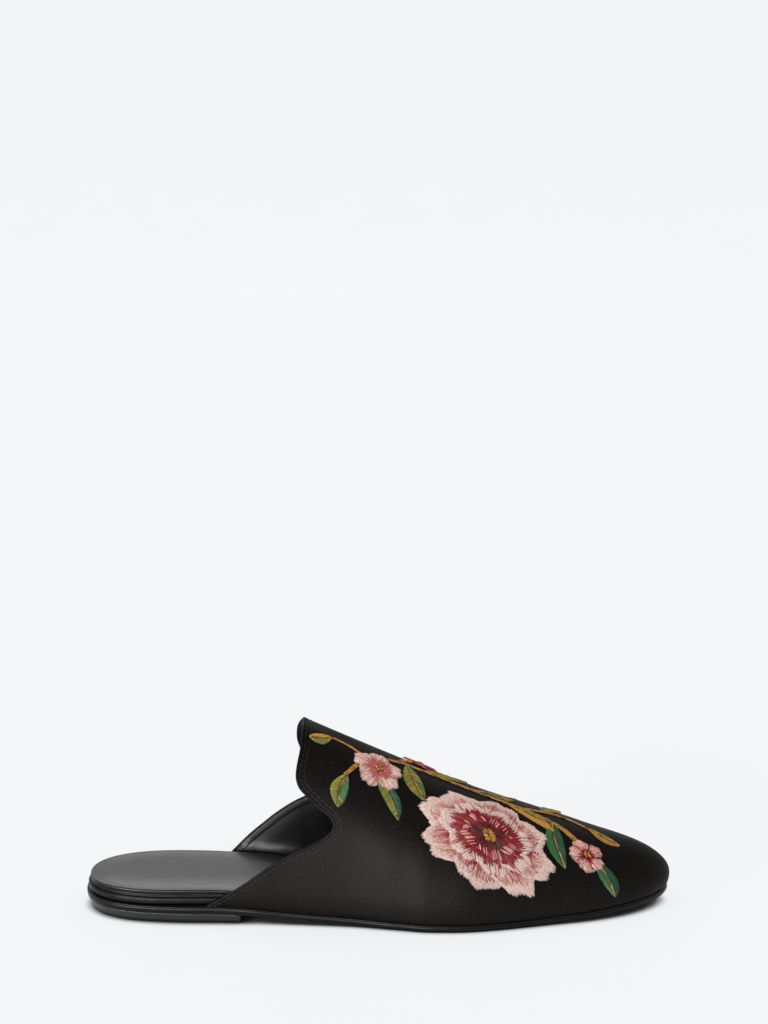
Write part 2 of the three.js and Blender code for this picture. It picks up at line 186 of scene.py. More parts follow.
# Rows of stitches beside the cut edge, in millimetres. The throat's row runs above a height only. Both
# share the points to a stitch, the edge's last points that stay free, and how a stitch lies and dips.
EDGE_STITCHES = {"inset": 1.6, "pitch": 2.5, "length": 2.0, "width": 0.3, "height": 0.14}
THROAT_STITCHES = {"inset": 3.5, "pitch": 2.5, "length": 2.0, "width": 0.28, "height": 0.12}
THROAT_STITCHES_FROM = 34.0
STITCH = {"points": 5, "last": 8, "lift": 0.1, "dip": 0.18}

# Form of a thread: shares of its width at its tips and shoulders, spread of its width, how much of its
# lift is gone at its ends, and how deep it sinks in.
THREAD_FORM = {"tip": 0.35, "shoulder": 0.55, "spread": (0.85, 1.15), "dip": 0.55, "sink": 0.06}

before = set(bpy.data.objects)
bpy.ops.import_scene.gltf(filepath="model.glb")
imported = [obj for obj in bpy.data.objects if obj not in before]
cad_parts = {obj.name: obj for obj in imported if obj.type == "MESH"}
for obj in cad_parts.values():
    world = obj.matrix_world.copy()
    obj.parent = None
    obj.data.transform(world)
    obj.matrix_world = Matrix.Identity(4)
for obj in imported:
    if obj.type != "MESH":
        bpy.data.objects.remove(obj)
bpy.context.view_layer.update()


def cubic(t, start, end, slope_in, slope_out):
    """Smooth curve from one value to another, with these slopes at its ends."""
    left = 1 - t
    bend = t * left * (left * slope_in - t * slope_out)
    return (1 + 2 * t) * left * left * start + t * t * (3 - 2 * t) * end + bend


def column(table, name, at):
    """Smooth value of a table's column at shares of the length, without overshoot."""
    rows = np.asarray(table["at"])
    values = np.asarray(table[name])
    rise = np.diff(values) / np.diff(rows)
    before = np.concatenate([rise[:1], rise])
    after = np.concatenate([rise, rise[-1:]])
    total = before + after
    same = before * after > 0
    slope = np.where(same, 2 * before * after / np.where(same, total, 1), 0)
    at = np.clip(at, rows[0], rows[-1])
    row = np.clip(np.searchsorted(rows, at, side="right") - 1, 0, len(rows) - 2)
    span = rows[row + 1] - rows[row]
    t = (at - rows[row]) / span
    return cubic(t, values[row], values[row + 1], span * slope[row], span * slope[row + 1])


def ease(value, start, end):
    t = np.clip((value - start) / (end - start), 0, 1)
    return t * t * (3 - 2 * t)


def unit(vectors):
    """Vectors brought to a length of one, along the last axis."""
    return vectors / np.maximum(np.linalg.norm(vectors, axis=-1, keepdims=True), TINY)


def run_along(line):
    """Length of a line of points up to each of them."""
    return np.concatenate([[0], np.cumsum(np.linalg.norm(np.diff(line, axis=0), axis=1))])


def places_along(line, run, at):
    """Points of a line at these lengths, given the length up to each of its own points."""
    return np.stack([np.interp(at, run, line[:, k]) for k in range(line.shape[1])], axis=1)


def smoothed(line, rounds):
    """A line whose inner points were moved toward their neighbours a few times."""
    line = line.copy()
    for _ in range(rounds):
        line[1:-1] = (line[:-2] + 2 * line[1:-1] + line[2:]) / 4
    return line


def share_at(angle):
    return (1 - np.cos(angle)) / 2


def angle_at(share):
    return math.acos(1 - 2 * share)


def axis_at(share):
    return TOE_SWING * ease(share, *SWING)


def board_point(angle):
    """The board's outline: angle 0 at the heel's back, half a turn at the toe tip."""
    share = share_at(angle)
    outer = np.sin(angle) >= 0
    width = HEEL_WIDTH + (BALL_WIDTH - HEEL_WIDTH) * ease(share, *WIDENING)
    heel = np.maximum(0, 1 - share / HEEL_ROUND["start"])
    toe = np.clip((share - TOE_ROUND["start"]) / (1 - TOE_ROUND["start"]), 0, 1)
    rounded = (1 - heel ** HEEL_ROUND["along"]) ** (1 / HEEL_ROUND["across"])
    rounded = rounded * (1 - toe ** TOE_ROUND["along"]) ** (1 / TOE_ROUND["across"])
    half = width * rounded * np.where(outer, column(PLAN, "outer", share), column(PLAN, "inner", share))
    return share * LAST_LENGTH, axis_at(share) + np.where(outer, -half, half)


def outline_point(angle, offset):
    """The outline moved outward along its own normal."""
    ahead = board_point(angle + OUTLINE_STEP)
    behind = board_point(angle - OUTLINE_STEP)
    along_x = ahead[0] - behind[0]
    along_y = ahead[1] - behind[1]
    size = np.hypot(along_x, along_y)
    x, y = board_point(angle)
    return x + along_y / size * offset, y - along_x / size * offset


def seat_height(x):
    share = x / LAST_LENGTH
    lift = HEEL_LIFT * column(SEAT, "lift", share)
    return OUTSOLE_THICKNESS + lift + TOE_SPRING * column(SEAT, "spring", share)


def ridge_height(x):
    return seat_height(x) + INSTEP_HEIGHT * column(SECTIONS, "ridge", x / LAST_LENGTH)


def rib_top(share):
    """Where the rib that stands at this share of the outline reaches the ridge."""
    start = angle_at(FAN["from"])
    t = np.clip((np.arccos(1 - 2 * share) - start) / (math.pi - start), 0, 1)
    fanned = cubic(t, FAN["from"], FAN["to"], FAN["slope_in"], FAN["slope_out"])
    return np.where(share <= FAN["from"], share, fanned) * LAST_LENGTH


def upper_point(angle, lift):
    """A point of the upper's outer face, as an array of x, y and z."""
    angle, lift = np.broadcast_arrays(np.asarray(angle, float), np.asarray(lift, float))
    share = share_at(angle)
    power = 2 / column(SECTIONS, "square", share)
    quarter = lift * math.pi / 2
    reach = np.where(lift < 1, np.maximum(np.cos(quarter), 0) ** power, 0)
    rise = np.sin(quarter) ** power
    top = rib_top(share)
    wall = SEAM_GAP + UPPER_WALL
    foot = seat_height(outline_point(angle, wall)[0]) + SEAM_GAP
    nearness = np.maximum(0, 1 - rise * (ridge_height(top) - foot) / SIDE_FULLNESS_HEIGHT)
    arch = np.where(np.sin(angle) < 0, ARCH_FULLNESS * column(SECTIONS, "arch", share), 0)
    fullness = (SIDE_FULLNESS + arch) * (1 - nearness * nearness)
    side_x, side_y = outline_point(angle, wall + fullness)
    x = top + (side_x - top) * reach
    y = TOE_SWING + (side_y - TOE_SWING) * reach
    z = foot + (ridge_height(x) - foot) * rise
    return np.stack([x, y, z], axis=-1)


def topline_curve(side):
    """The topline in the side view as x and z, on a smooth curve through the table's rows."""
    at = np.asarray(TOPLINE["at"])
    x = (at - (side == "inner") * np.asarray(TOPLINE["lag"])) * LAST_LENGTH
    rows = np.stack([x, seat_height(x) + np.asarray(TOPLINE[side]) * INSTEP_HEIGHT], axis=1)
    rows = np.concatenate([rows[:1], rows, rows[-1:]])
    place = np.linspace(0, len(at) - 1, TOPLINE_POINTS)
    row = np.minimum(place.astype(int), len(at) - 2)
    t = (place - row)[:, None]
    before, here, ahead, beyond = (rows[row + k] for k in range(4))
    return cubic(t, here, ahead, (ahead - before) / 2, (beyond - here) / 2)


TOPLINES = {side: topline_curve(side) for side in ("outer", "inner")}


def ahead_of_topline(points, inner):
    """Signed distance in the side view from the topline, positive on the upper's side of it."""
    flat = points.reshape(-1, 3)[:, [0, 2]]
    side = np.broadcast_to(inner, points.shape[:-1]).reshape(-1)
    out = np.empty(len(flat))
    for name, chosen in (("outer", ~side), ("inner", side)):
        line = TOPLINES[name]
        start, along = line[:-1], np.diff(line, axis=0)
        off = flat[chosen][:, None] - start[None]
        t = np.clip((off * along).sum(2) / (along * along).sum(1), 0, 1)
        gap = off - t[..., None] * along
        distance = np.hypot(gap[..., 0], gap[..., 1])
        nearest = distance.argmin(1)
        rows = np.arange(len(nearest))
        turn = along[nearest, 0] * gap[rows, nearest, 1] - along[nearest, 1] * gap[rows, nearest, 0]
        out[chosen] = np.where(turn < 0, 1, -1) * distance[rows, nearest]
    return out.reshape(points.shape[:-1])


# The place of the last's frame in the part's frame, in millimetres.
OUTLINE = board_point(np.linspace(0, 2 * math.pi, OUTLINE_POINTS))
LAST_ORIGIN = np.array((
    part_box("insole_board")[0][0] / MM - OUTLINE[0].min(),
    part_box("insole_board")[0][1] / MM - OUTLINE[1].min(),
    0.0,
))


def to_part(points):
    """Points from the last's frame in millimetres into the part's frame in metres."""
    return (np.asarray(points, float) + LAST_ORIGIN) * MM


def new_mesh(name, points, faces, materials):
    mesh = bpy.data.meshes.new(name)
    mesh.from_pydata(points, [], faces)
    for material in materials:
        mesh.materials.append(material)
    mesh.shade_smooth()
    return mesh


def add_object(name, data):
    obj = bpy.data.objects.new(name, data)
    bpy.context.scene.collection.objects.link(obj)
    return obj


def make_object(name, points, faces, materials, slot, shades=None):
    """A smooth mesh that rides on the part's body. Shades hold the material's index of each face."""
    mesh = new_mesh(name, to_part(points).tolist(), faces, materials)
    if shades is not None:
        mesh.polygons.foreach_set("material_index", np.asarray(shades, np.int32))
    obj = add_object(name, mesh)
    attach(obj, "root")
    return obj


def srgb(red, green, blue):
    """Linear colour of an 8-bit display colour."""
    shares = (value / 255 for value in (red, green, blue))
    return tuple(s / 12.92 if s <= 0.04045 else ((s + 0.055) / 1.055) ** 2.4 for s in shares) + (1.0,)


def shader(name, **values):
    """A material with its Principled shader's own sockets set."""
    material = bpy.data.materials.new(name)
    material.use_nodes = True
    tree = material.node_tree
    principled = tree.nodes["Principled BSDF"]
    for socket, value in values.items():
        principled.inputs[socket.replace("_", " ")].default_value = value
    return material, tree, principled


def add_node(tree, kind, **values):
    """New node. Each value sets the socket of that name, or is the output that is linked to it."""
    node = tree.nodes.new("ShaderNode" + kind)
    for name, value in values.items():
        socket = node.inputs[name.replace("_", " ")]
        if isinstance(value, bpy.types.NodeSocket):
            tree.links.new(value, socket)
        else:
            socket.default_value = value
    return node


def coordinates(tree, stretch=(1.0, 1.0, 1.0)):
    """Object coordinates in metres, stretched along the axes."""
    place = add_node(tree, "TexCoord").outputs["Object"]
    return add_node(tree, "Mapping", Vector=place, Scale=stretch).outputs["Vector"]


def noise(tree, size, detail, stretch=(1.0, 1.0, 1.0)):
    """Noise with lumps of about this size in millimetres."""
    place = coordinates(tree, stretch)
    return add_node(tree, "TexNoise", Vector=place, Scale=1 / (size * MM), Detail=detail).outputs["Fac"]


def bands(tree, axis, pitch, distortion):
    """Fine lines across one axis, this many millimetres apart."""
    node = add_node(
        tree, "TexWave", Vector=coordinates(tree), Scale=WAVE_SCALE / (pitch * MM),
        Distortion=distortion, Detail=1.0,
    )
    node.bands_direction = axis
    return node.outputs["Fac"]


def blend_colours(tree, principled, factor, low, high):
    """Base colour that runs between two colours over the factor."""
    ramp = add_node(tree, "ValToRGB", Fac=factor)
    for element, position, colour in zip(ramp.color_ramp.elements, COLOUR_SPREAD, (low, high)):
        element.position = position
        element.color = colour
    tree.links.new(ramp.outputs["Color"], principled.inputs["Base Color"])


def vary_roughness(tree, principled, factor, low, high):
    span = add_node(tree, "MapRange", Value=factor, To_Min=low, To_Max=high)
    tree.links.new(span.outputs["Result"], principled.inputs["Roughness"])


def relief(tree, principled, layers):
    """Chain of bumps. Each layer is a height, its strength and its depth in millimetres."""
    normal = None
    for height, strength, depth in layers:
        bump = add_node(tree, "Bump", Height=height, Strength=strength, Distance=depth * MM)
        if normal is not None:
            tree.links.new(normal, bump.inputs["Normal"])
        normal = bump.outputs["Normal"]
    tree.links.new(normal, principled.inputs["Normal"])


def satin_material():
    """Black silk satin with a soft warm sheen, fine ribs and slubs."""
    material, tree, principled = shader(
        "black_satin", Specular_IOR_Level=0.085, Sheen_Weight=0.01, Sheen_Roughness=0.45,
        Sheen_Tint=srgb(190, 180, 170), Specular_Tint=srgb(255, 246, 242),
    )
    clouds = noise(tree, size=0.8, detail=5)
    blend_colours(tree, principled, clouds, low=srgb(3, 2, 2), high=srgb(24, 21, 19))
    vary_roughness(tree, principled, noise(tree, size=0.8, detail=4, stretch=SLUB), low=0.46, high=0.66)
    relief(tree, principled, (
        (bands(tree, "X", pitch=0.42, distortion=0.6), 0.15, 0.04),
        (bands(tree, "Z", pitch=0.36, distortion=0.6), 0.15, 0.04),
        (noise(tree, size=1.0, detail=3, stretch=SLUB), 0.35, 0.14),
        (noise(tree, size=16, detail=2), 0.25, 0.6),
    ))
    return material


def leather_material(name, low, high, roughness, pebble, coat, specular):
    """Smooth leather with fine pores, colour clouds and uneven gloss."""
    material, tree, principled = shader(
        name, Coat_Weight=coat, Coat_Roughness=0.25, Specular_IOR_Level=specular,
    )
    blend_colours(tree, principled, noise(tree, size=9, detail=5), srgb(*low), srgb(*high))
    low_gloss, high_gloss = (roughness + change for change in LEATHER_GLOSS)
    vary_roughness(tree, principled, noise(tree, size=3, detail=4), low_gloss, high_gloss)
    relief(tree, principled, (
        (noise(tree, size=pebble, detail=4), 0.25, 0.07),
        (noise(tree, size=1.6, detail=3), 0.12, 0.12),
        (noise(tree, size=22, detail=2), 0.2, 0.6),
    ))
    return material


def thread_material(name, colour):
    """Glossy embroidery thread with a slight change of colour from strand to strand."""
    material, tree, principled = shader(
        "thread_" + name, Specular_IOR_Level=0.3, Sheen_Weight=0.05, Sheen_Roughness=0.4,
    )
    dark = tuple(round(value * THREAD_SHADE) for value in colour)
    blend_colours(tree, principled, noise(tree, size=0.7, detail=3), srgb(*dark), srgb(*colour))
    vary_roughness(tree, principled, noise(tree, size=1.5, detail=2), low=0.42, high=0.6)
    relief(tree, principled, ((bands(tree, "DIAGONAL", pitch=0.3, distortion=1.0), 0.3, 0.05),))
    return material


# One turn of Blender's wave bands, as a scale for a pitch of one metre, and where a colour ramp's two
# colours stand.
WAVE_SCALE = 2 * math.pi / 20
COLOUR_SPREAD = (0.3, 0.7)

# Slubs are twice as long along the shoe as across it. Leather is a little smoother or rougher in places,
# and a thread's dark side has this share of its colour.
SLUB = (0.5, 1, 1)
LEATHER_GLOSS = (-0.05, 0.07)
THREAD_SHADE = 0.76

SATIN = satin_material()
LEATHERS = {
    row["name"]: leather_material(**row)
    for row in rows_of(("name", "low", "high", "roughness", "pebble", "coat", "specular"), (
        ("lining_leather", (7, 7, 8), (22, 22, 24), 0.3, 0.5, 0.08, 0.16),
        ("turned_edge", (8, 8, 8), (22, 22, 22), 0.3, 0.35, 0.04, 0.16),
        ("edge_binding", (4, 3, 3), (17, 15, 13), 0.55, 0.3, 0.0, 0.08),
        ("sock_leather", (34, 33, 32), (47, 46, 45), 0.3, 0.45, 0.0, 0.21),
        ("board_cover", (14, 14, 15), (26, 26, 27), 0.34, 0.4, 0.0, 0.12),
        ("sole_leather", (8, 8, 9), (18, 18, 19), 0.34, 0.6, 0.0, 0.13),
        # Darker leather of the outsole's bevel ahead of the heel lift and of its underside: painted shade.
        ("sole_underside", (6, 6, 6), (14, 14, 14), 0.6, 0.6, 0.0, 0.15),
        ("heel_leather", (14, 14, 15), (26, 26, 27), 0.3, 0.6, 0.1, 0.5),
    ))
}
STITCH_THREAD = thread_material("black", (26, 25, 24))


def stack(rings):
    """Closed stack of rings, lowest first, with both ends closed by rungs from side to side."""
    around = len(rings[0])
    faces = []
    for level in range(len(rings) - 1):
        low, high = level * around, (level + 1) * around
        for step in range(around):
            nxt = (step + 1) % around
            faces.append((low + step, low + nxt, high + nxt, high + step))
    top = (len(rings) - 1) * around
    for step in range(around // 2):
        nxt, back, ahead = step + 1, (around - step) % around, around - step - 1
        upper_rung = [top + step, top + nxt, top + ahead, top + back]
        lower_rung = [back, ahead, nxt, step]
        faces.append(tuple(dict.fromkeys(upper_rung)))
        faces.append(tuple(dict.fromkeys(lower_rung)))
    return np.concatenate(rings), [face for face in faces if len(face) > 2]


def sole_ring(offset, above):
    """Ring on the sole's outline, moved outward, at a height above the seat."""
    x, y = outline_point(SOLE_ANGLES, offset)
    return np.stack([x, y, seat_height(x) + above], axis=1)


def outsole_margin(angle):
    full = SEAM_GAP + UPPER_WALL + OUTSOLE_MARGIN
    return OUTSOLE_HEEL_MARGIN + (full - OUTSOLE_HEEL_MARGIN) * ease(share_at(angle), *MARGIN_GROWTH)


def make_outsole():
    """Outsole with a bevelled edge, whose bevel runs out where the heel lift begins. Its bevel ahead of
    the heel lift and its underside take a darker leather, which is painted shade.
    """
    margin = outsole_margin(SOLE_ANGLES)
    kept = HEEL_BEVEL + (1 - HEEL_BEVEL) * ease(share_at(SOLE_ANGLES), *BEVEL_GROWTH)
    rings = [sole_ring(margin - inset * kept, up - OUTSOLE_THICKNESS) for inset, up in OUTSOLE_EDGE]
    points, faces = stack(rings)
    face_rows = np.repeat(np.arange(len(rings) - 1), len(rings[0]))
    start_x = np.array([points[face[0]][0] for face in faces[:len(face_rows)]])
    # Bevel faces ahead of the heel lift, and the underside, take the darker leather of painted shade.
    bevel = (face_rows < BEVEL_ROWS) & (start_x > HEEL_LENGTH)
    underside = [face[0] < len(rings[0]) for face in faces[len(face_rows):]]
    shades = np.concatenate([bevel, underside]).astype(int)
    finish = [LEATHERS["sole_leather"], LEATHERS["sole_underside"]]
    obj = make_object("outsole_leather", points, faces, finish, "sole_leather", shades)
    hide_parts("outsole")


def make_board():
    rings = [sole_ring(-inset, SEAM_GAP + up) for inset, up in BOARD_EDGE]
    obj = make_object("board_wrap", *stack(rings), [LEATHERS["board_cover"]], "board_cover")
    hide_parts("insole_board")


def make_sock():
    """Padded sock: a folded lip at its foot, a soft round edge and a low crown. It is left bare."""
    base = 2 * SEAM_GAP + BOARD_THICKNESS
    rings = [sole_ring(-SOCK_INSET - inset, base + up) for inset, up in SOCK_EDGE]
    x, y, _ = rings[-1].T
    middle = np.clip(x, HEEL_WIDTH / 2, LAST_LENGTH - BALL_WIDTH / 2)
    for inward in SOCK_CROWN_RINGS:
        in_x = x + (middle - x) * inward
        in_y = y + (axis_at(x / LAST_LENGTH) - y) * inward
        rise = SOCK_CROWN * column(SOCK_CROWN_RISE, "rise", inward)
        rings.append(np.stack([in_x, in_y, seat_height(in_x) + base + SOCK_THICKNESS + rise], axis=1))
    obj = make_object("sock_padding", *stack(rings), [LEATHERS["sock_leather"]], "sock_leather")
    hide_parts("sock_lining")
    return obj


def make_heel():
    """Heel lift of stacked leather with a fine line between its layers."""
    front = angle_at(HEEL_LENGTH / LAST_LENGTH)
    turns = np.linspace(0, front, HEEL_STATIONS + 1)
    angles = np.concatenate([turns, -turns[:0:-1]])
    rings = []
    for taper, up in HEEL_EDGE:
        x, y = outline_point(angles, outsole_margin(angles) - HEEL_INSET - taper * HEEL_TAPER)
        x[np.abs(angles) == front] = HEEL_LENGTH
        z = up * (seat_height(x) - OUTSOLE_THICKNESS - SEAM_GAP)
        rings.append(np.stack([x, y, z], axis=1))
    obj = make_object("heel_lift", *stack(rings), [LEATHERS["heel_leather"]], "heel_leather")
    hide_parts("heel")


def quad_corners(index):
    """The four corners of each of a grid's faces."""
    return index[:-1, :-1], index[1:, :-1], index[1:, 1:], index[:-1, 1:]


def grid_normals(points, index):
    """Smooth normals of a grid's points, shared where the index is shared."""
    corner = points.reshape(-1, 3)[index]
    across = corner[1:, 1:] - corner[:-1, :-1]
    face = np.cross(across, corner[:-1, 1:] - corner[1:, :-1])
    total = np.zeros_like(points.reshape(-1, 3))
    for corner_at in quad_corners(index):
        np.add.at(total, corner_at.reshape(-1), face.reshape(-1, 3))
    return unit(total)


def fold_relief(points, inner):
    """Height of the listed folds, and of the fine puckers beside the sole."""
    relief_height = np.zeros(points.shape[:-1])
    for fold in FOLDS:
        angles = [angle_at(at) for at in fold["at"]]
        if fold["inner"]:
            angles = [2 * math.pi - angle for angle in angles]
        start, end = (upper_point(angle, lift) for angle, lift in zip(angles, fold["lift"]))
        along = end - start
        off = points - start
        place = (off @ along) / (along @ along)
        gap = np.linalg.norm(off - np.clip(place, 0, 1)[..., None] * along, axis=-1)
        shape = np.exp(-((gap / fold["width"]) ** 2))
        relief_height += np.where(inner == fold["inner"], fold["depth"] * shape, 0)
    above = points[..., 2] - seat_height(points[..., 0])
    near = np.exp(-np.maximum(above, 0) / PUCKER["reach"])
    swing = np.sin(points[..., 0] * 2 * math.pi / PUCKER["pitch"])
    slow = np.sin(points[..., 0] * 2 * math.pi / (PUCKER["pitch"] * PUCKER["slow"]) + PUCKER["phase"])
    return relief_height + PUCKER["depth"] * near * swing * (0.5 + 0.5 * slow)


class Surface:
    """A grid surface with smooth normals, that other pieces lie on."""

    def __init__(self, points, index):
        self.points = points.reshape(-1, 3)
        self.index = index
        self.normals = grid_normals(points, index)
        self.quads = np.stack(quad_corners(index), axis=-1).reshape(-1, 4)
        self.tree = BVHTree.FromPolygons(self.points.tolist(), self.quads.tolist())

    def nearest(self, points):
        """Nearest places on the surface and their smooth normals."""
        flat = np.asarray(points, float).reshape(-1, 3)
        found = [self.tree.find_nearest(Vector(point)) for point in flat]
        places = np.array([tuple(hit[0]) for hit in found])
        corners = self.quads[[hit[2] for hit in found]]
        gaps = np.linalg.norm(self.points[corners] - places[:, None], axis=2)
        weights = 1 / (gaps ** 2 + NEAR)
        normals = unit((self.normals[corners] * weights[..., None]).sum(1))
        shape = np.asarray(points).shape
        return places.reshape(shape), normals.reshape(shape)


def upper_surface():
    """The whole outer face before its topline is cut. Both sides share the ridge's points."""
    start = angle_at(SHELL_START)
    last = 2 * UPPER_STATIONS
    angles = np.linspace(start, 2 * math.pi - start, last + 1)
    lifts = np.linspace(0, 1, UPPER_ROWS + 1)
    points = upper_point(angles[:, None], lifts[None])
    index = np.arange(points.shape[0] * points.shape[1]).reshape(points.shape[:2])
    index[UPPER_STATIONS + 1:, -1] = index[:UPPER_STATIONS, -1][::-1]
    inner = np.broadcast_to((np.arange(last + 1) > UPPER_STATIONS)[:, None], index.shape)
    normals = grid_normals(points, index)[index]
    height = fold_relief(points, inner)
    height[:, -1] = (height[:, -1] + height[::-1, -1]) / 2
    return Surface(points + normals * height[..., None], index), inner


def clip_grid(points, index, level):
    """Faces of the grid where the level is positive, cut along its zero line."""
    points = list(points)
    level = np.asarray(level)
    cuts = {}
    faces = []

    def cut(a, b):
        key = (min(a, b), max(a, b))
        if key not in cuts:
            t = level[a] / (level[a] - level[b])
            cuts[key] = len(points)
            points.append(points[a] + (points[b] - points[a]) * t)
        return cuts[key]

    for i in range(index.shape[0] - 1):
        for j in range(index.shape[1] - 1):
            corners = (index[i, j], index[i + 1, j], index[i + 1, j + 1], index[i, j + 1])
            kept = [level[corner] > 0 for corner in corners]
            if not any(kept):
                continue
            face = []
            for k in range(4):
                a, b = corners[k], corners[(k + 1) % 4]
                if kept[k]:
                    face.append(int(a))
                if kept[k] != kept[(k + 1) % 4]:
                    face.append(cut(a, b))
            face = tuple(dict.fromkeys(face))
            if len(face) > 2:
                faces.append(face)
    used = sorted({corner for face in faces for corner in face})
    place = {corner: k for k, corner in enumerate(used)}
    return np.array([points[corner] for corner in used]), [tuple(place[c] for c in face) for face in faces]


def side_level(surface, points, inner):
    """Level of the topline for a surface's points, by the side that each lies on."""
    side = np.zeros(len(surface.points), bool)
    side[surface.index.reshape(-1)] = inner.reshape(-1)
    return ahead_of_topline(points, side)


def make_upper(surface, inner):
    """Satin face with its foot turned in under it, and the leather lining inside."""
    level = side_level(surface, surface.points, inner)
    feet = surface.index[:, 0]
    inward = unit(surface.normals[feet] * (1, 1, 0))
    lip = surface.points[feet] - inward * TURNED_FOOT["inward"] - (0, 0, TURNED_FOOT["down"])
    points = np.concatenate([surface.points, lip])
    lip_index = np.arange(len(surface.points), len(points))
    index = np.concatenate([lip_index[:, None], surface.index], axis=1)
    levels = np.concatenate([level, level[feet]])
    satin = make_object("upper_satin", *clip_grid(points, index, levels), [SATIN], "satin")
    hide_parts("upper")

    grown = ease(np.maximum(level, 0), 0, LINING_WALL["reach"])
    wall = LINING_WALL["edge"] + (LINING_WALL["full"] - LINING_WALL["edge"]) * grown
    inside = surface.points - surface.normals * wall[:, None]
    inside_level = side_level(surface, inside, inner) - LINING_WALL["back"]
    points, faces = clip_grid(inside, surface.index, inside_level)
    faces = [face[::-1] for face in faces]
    make_object("upper_lining", points, faces, [LEATHERS["lining_leather"]], "lining_leather")


def topline_half(surface, side, turn):
    """The cut edge of one side, from its foot up to the ridge, where rays meet the outer face."""
    line = TOPLINES[side]
    run = run_along(line)
    over = np.argmax(line[:, 1] > ridge_height(line[:, 0]))
    low, high = run[over - 1], run[over]
    for _ in range(CHAIN["halvings"]):
        middle = (low + high) / 2
        x, z = (np.interp(middle, run, line[:, k]) for k in range(2))
        low, high = (middle, high) if z < ridge_height(x) else (low, middle)
    place = low * (1 - (1 - np.linspace(0, 1, CHAIN["rays"])) ** CHAIN["crowding"])
    found = []
    for x, z in places_along(line, run, place):
        hit = surface.tree.ray_cast(Vector((x, TOE_SWING, z)), Vector((0, turn, 0)))
        if hit[0] is not None:
            found.append(tuple(hit[0]))
    return np.array(found)


def topline_chain(surface):
    """The cut edge on the outer face, from the outer foot over the tongue to the inner foot."""
    outer = topline_half(surface, "outer", -1)
    inner = topline_half(surface, "inner", 1)
    chain = np.concatenate([outer, inner[::-1]])
    run = run_along(chain)
    even = np.linspace(0, run[-1], int(run[-1] / TOPLINE_STEP))
    return smoothed(places_along(chain, run, even), CHAIN["smoothing"])


def into_upper(surface, chain):
    """The way into the upper, along its face, at each point of the cut edge."""
    _, normals = surface.nearest(chain)
    return unit(np.cross(unit(np.gradient(chain, axis=0)), normals))


def edge_strip(surface, chain, inward, profile):
    """Strip along the cut edge with this cross-section, bent to the outer face."""
    rows = []
    for inset, height in profile:
        places, normals = surface.nearest(chain + inward * max(inset, 0))
        rows.append(places + inward * min(inset, 0) + normals * height)
    points = np.concatenate(rows)
    count = len(chain)
    faces = []
    for row in range(len(rows) - 1):
        for step in range(count - 1):
            a = row * count + step
            faces.append((a, a + 1, a + count + 1, a + count))
    return points, faces


def thread_mesh(paths, normals, widths, heights):
    """Half-round threads along paths of equal step counts: points, faces and faces to a thread."""
    count, steps, _ = paths.shape
    sides = unit(np.cross(normals, np.gradient(paths, axis=1)))
    taper = THREAD_FORM["tip"] + (1 - THREAD_FORM["tip"]) * (1 - np.linspace(-1, 1, steps) ** 4)
    half = (widths[:, None] / 2 * taper)[..., None]
    rise = (heights[:, None] * taper)[..., None]
    shoulder = sides * half * THREAD_FORM["shoulder"]
    points = np.stack([
        paths - sides * half,
        paths - shoulder + normals * rise,
        paths + shoulder + normals * rise,
        paths + sides * half,
    ], axis=2)
    corners = points.shape[2]
    first = np.arange(count)[:, None, None] * steps + np.arange(steps - 1)[None, :, None]
    low = first * corners + np.arange(corners - 1)
    faces = np.stack([low, low + 1, low + 1 + corners, low + corners], axis=-1).reshape(-1, 4)
    return points.reshape(-1, 3), faces.tolist(), (steps - 1) * (corners - 1)


def stitch_row(surface, chain, inward, row, lowest=0.0):
    """Row of short stitches beside the cut edge, down to this height."""
    steps = STITCH["points"]
    starts = np.arange(0, (len(chain) - STITCH["last"]) * TOPLINE_STEP, row["pitch"])
    places = (starts[:, None] + np.linspace(0, row["length"], steps)[None]) / TOPLINE_STEP
    line = chain + inward * row["inset"]
    spots, normals = surface.nearest(places_along(line, np.arange(len(line)), places.reshape(-1)))
    lift = STITCH["lift"] - STITCH["dip"] * np.linspace(-1, 1, steps) ** 4
    paths = spots.reshape(-1, steps, 3) + normals.reshape(-1, steps, 3) * lift[None, :, None]
    normals = normals.reshape(-1, steps, 3)
    chosen = paths[:, steps // 2, 2] > lowest
    paths, normals = paths[chosen], normals[chosen]
    widths = np.full(len(paths), row["width"])
    heights = np.full(len(paths), row["height"])
    return thread_mesh(paths, normals, widths, heights)[:2]


def make_topline(surface):
    """Rolled binding, the strip turned to the inside, and the stitches."""
    chain = topline_chain(surface)
    inward = into_upper(surface, chain)
    for name, profile, leather, slot in (
        ("topline_binding", BINDING, "edge_binding", "satin"),
        ("turned_strip", TURNED_STRIP, "turned_edge", "lining_leather"),
    ):
        make_object(name, *edge_strip(surface, chain, inward, profile), [LEATHERS[leather]], slot)
    mesh = stitch_row(surface, chain, inward, EDGE_STITCHES)
    make_object("topline_stitches", *mesh, [STITCH_THREAD], "stitching")
    mesh = stitch_row(surface, chain, inward, THROAT_STITCHES, THROAT_STITCHES_FROM)
    make_object("throat_stitches", *mesh, [STITCH_THREAD], "stitching")


make_outsole()
make_board()
SOCK = make_sock()
make_heel()
OUTER_FACE, INNER_SIDE = upper_surface()
make_upper(OUTER_FACE, INNER_SIDE)
make_topline(OUTER_FACE)


# Thread colours.
THREADS = {
    "blush": (254, 220, 208),
    "pink": (242, 176, 162),
    "rose": (202, 104, 102),
    "crimson": (164, 12, 34),
    "maroon": (104, 20, 26),
    "gold": (222, 162, 58),
    "ochre": (196, 130, 56),
    "brown": (112, 68, 32),
    "olive": (140, 146, 52),
    "leaf": (62, 122, 66),
    "forest": (26, 86, 52),
    "sage": (70, 76, 66),
}
SHADE = {name: place for place, name in enumerate(THREADS)}
THREAD_PITCH = 0.42
THREAD_WIDTH = 0.5
THREAD_HEIGHT = 0.3
THREAD_POINTS = 6

